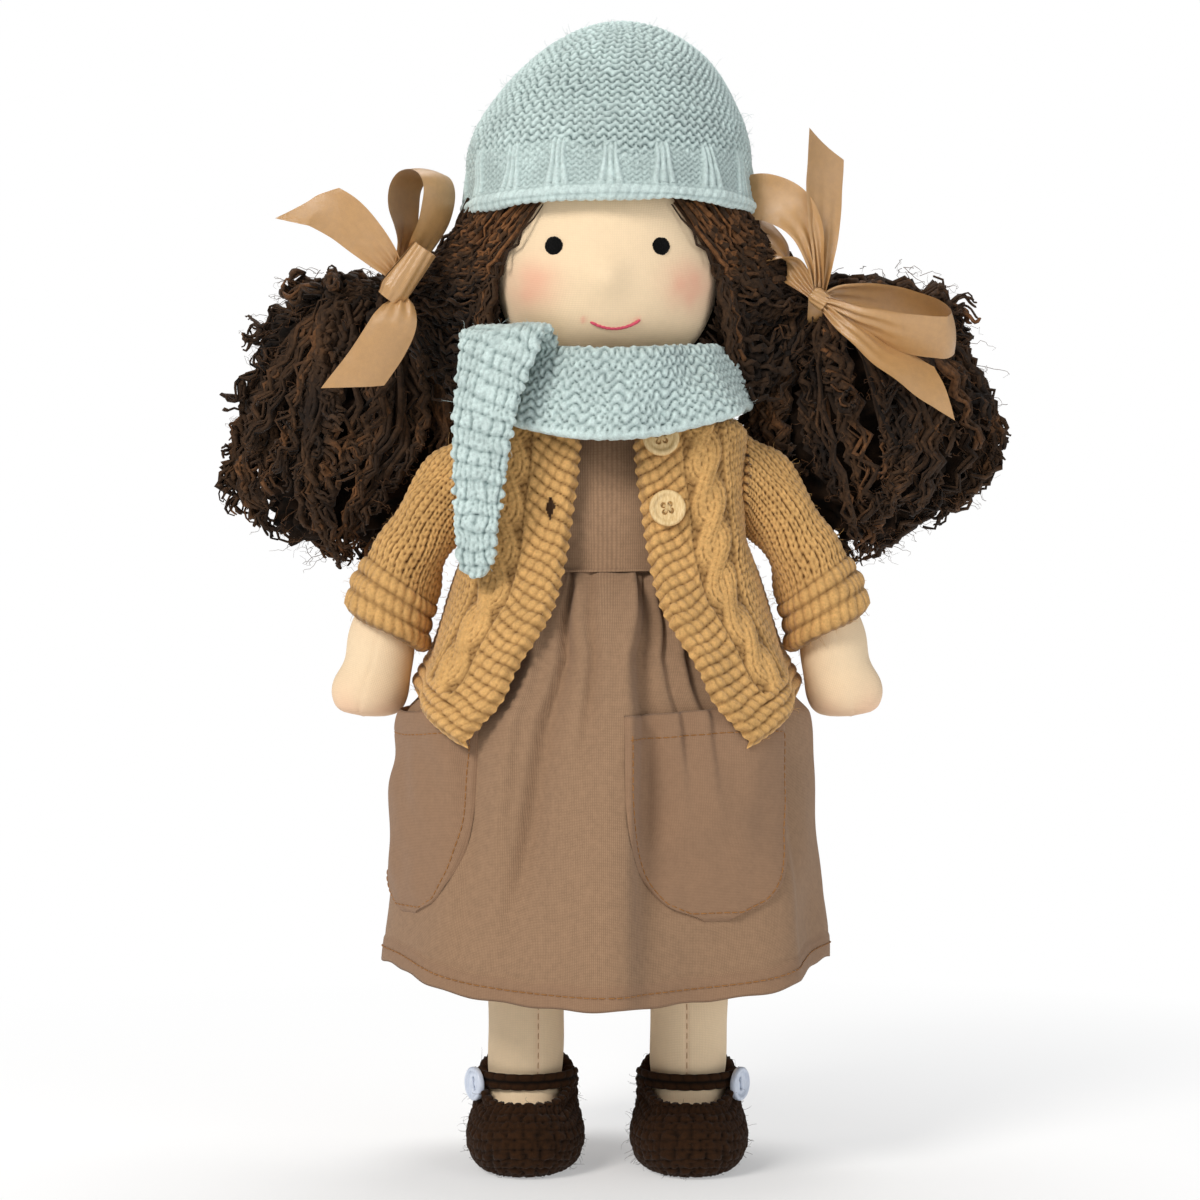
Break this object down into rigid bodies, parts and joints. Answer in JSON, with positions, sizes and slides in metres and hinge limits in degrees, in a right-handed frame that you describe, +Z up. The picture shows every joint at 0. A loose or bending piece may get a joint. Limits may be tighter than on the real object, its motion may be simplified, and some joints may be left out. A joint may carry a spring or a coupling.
{
  "type": "waldorf doll",
  "caption": "Stuffed cloth doll in a knitted hat, scarf and cardigan, a long dress with patch pockets and buttoned shoes, with turning limbs and bunches of hair.",
  "frame": {"origin": "on the floor, under the middle of the doll's box", "axes": "+Z up; the doll faces -Y; +X is the doll's left hand"},
  "size_m": [0.2774, 0.1362, 0.4],
  "materials": {
    "skin_jersey": "cream cotton jersey, matt",
    "white_thread": "strong cotton thread",
    "eye_thread": "black embroidery thread",
    "mouth_thread": "pink embroidery thread",
    "hair_yarn": "dark brown curly wool yarn",
    "hair_elastic": "covered elastic",
    "satin_ribbon": "golden satin",
    "pale_knit": "pale blue-green wool, hand knitted",
    "mustard_knit": "mustard wool, hand knitted",
    "button_wood": "pale turned wood, waxed",
    "dress_cloth": "taupe plain-weave cotton, golden stitching",
    "shoe_yarn": "dark brown crocheted wool",
    "shoe_button": "pale blue-white, pearly"
  },
  "bodies": {
    "torso": {"torso": "skin_jersey", "neck_tie": "white_thread", "dress_bodice": "dress_cloth", "skirt": "dress_cloth", "left_pocket": "dress_cloth", "right_pocket": "dress_cloth", "cardigan_body": "mustard_knit", "upper_button": "button_wood", "lower_button": "button_wood", "scarf": "pale_knit"},
    "head": {"head": "skin_jersey", "left_eye": "eye_thread", "right_eye": "eye_thread", "mouth": "mouth_thread", "hair_cap": "hair_yarn", "left_hair_band": "hair_elastic", "right_hair_band": "hair_elastic", "left_bow": "satin_ribbon", "right_bow": "satin_ribbon"},
    "hat": {"hat": "pale_knit"},
    "left_pigtail": {"left_pigtail": "hair_yarn"},
    "right_pigtail": {"right_pigtail": "hair_yarn"},
    "left_arm": {"left_arm": "skin_jersey", "left_sleeve": "mustard_knit"},
    "right_arm": {"right_arm": "skin_jersey", "right_sleeve": "mustard_knit"},
    "left_leg": {"left_leg": "skin_jersey", "left_shoe": "shoe_yarn"},
    "right_leg": {"right_leg": "skin_jersey", "right_shoe": "shoe_yarn"},
    "left_strap": {"left_shoe_strap": "shoe_yarn", "left_shoe_button": "shoe_button"},
    "right_strap": {"right_shoe_strap": "shoe_yarn", "right_shoe_button": "shoe_button"}
  },
  "joints": [
    {"name": "head_turn", "type": "hinge", "parent": "torso", "child": "head", "pos_m": [0, 0, 0.275], "axis": [0, 0, 1], "range_deg": [-10, 10]},
    {"name": "hat_lift", "type": "slide", "parent": "head", "child": "hat", "axis": [0, 0, 1], "range_m": [0, 0.09]},
    {"name": "left_pigtail_swing", "type": "hinge", "parent": "head", "child": "left_pigtail", "pos_m": [0.073, 0.008, 0.304], "axis": [1, 0, 0], "range_deg": [0, 45]},
    {"name": "right_pigtail_swing", "type": "hinge", "parent": "head", "child": "right_pigtail", "pos_m": [-0.073, 0.008, 0.304], "axis": [1, 0, 0], "range_deg": [0, 45]},
    {"name": "left_shoulder", "type": "hinge", "parent": "torso", "child": "left_arm", "pos_m": [0.0485, 0, 0.24], "axis": [-1, 0, 0], "range_deg": [-10, 100]},
    {"name": "right_shoulder", "type": "hinge", "parent": "torso", "child": "right_arm", "pos_m": [-0.0485, 0, 0.24], "axis": [-1, 0, 0], "range_deg": [-10, 100]},
    {"name": "left_hip", "type": "hinge", "parent": "torso", "child": "left_leg", "pos_m": [0.0285, 0, 0.156], "axis": [-1, 0, 0], "range_deg": [-20, 20]},
    {"name": "right_hip", "type": "hinge", "parent": "torso", "child": "right_leg", "pos_m": [-0.0285, 0, 0.156], "axis": [-1, 0, 0], "range_deg": [-20, 20]},
    {"name": "left_strap_open", "type": "hinge", "parent": "left_leg", "child": "left_strap", "pos_m": [0.0102, -0.0023, 0.0308], "axis": [0, 0, -1], "range_deg": [0, 60]},
    {"name": "right_strap_open", "type": "hinge", "parent": "right_leg", "child": "right_strap", "pos_m": [-0.0102, -0.0023, 0.0308], "axis": [0, 0, 1], "range_deg": [0, 60]}
  ]
}
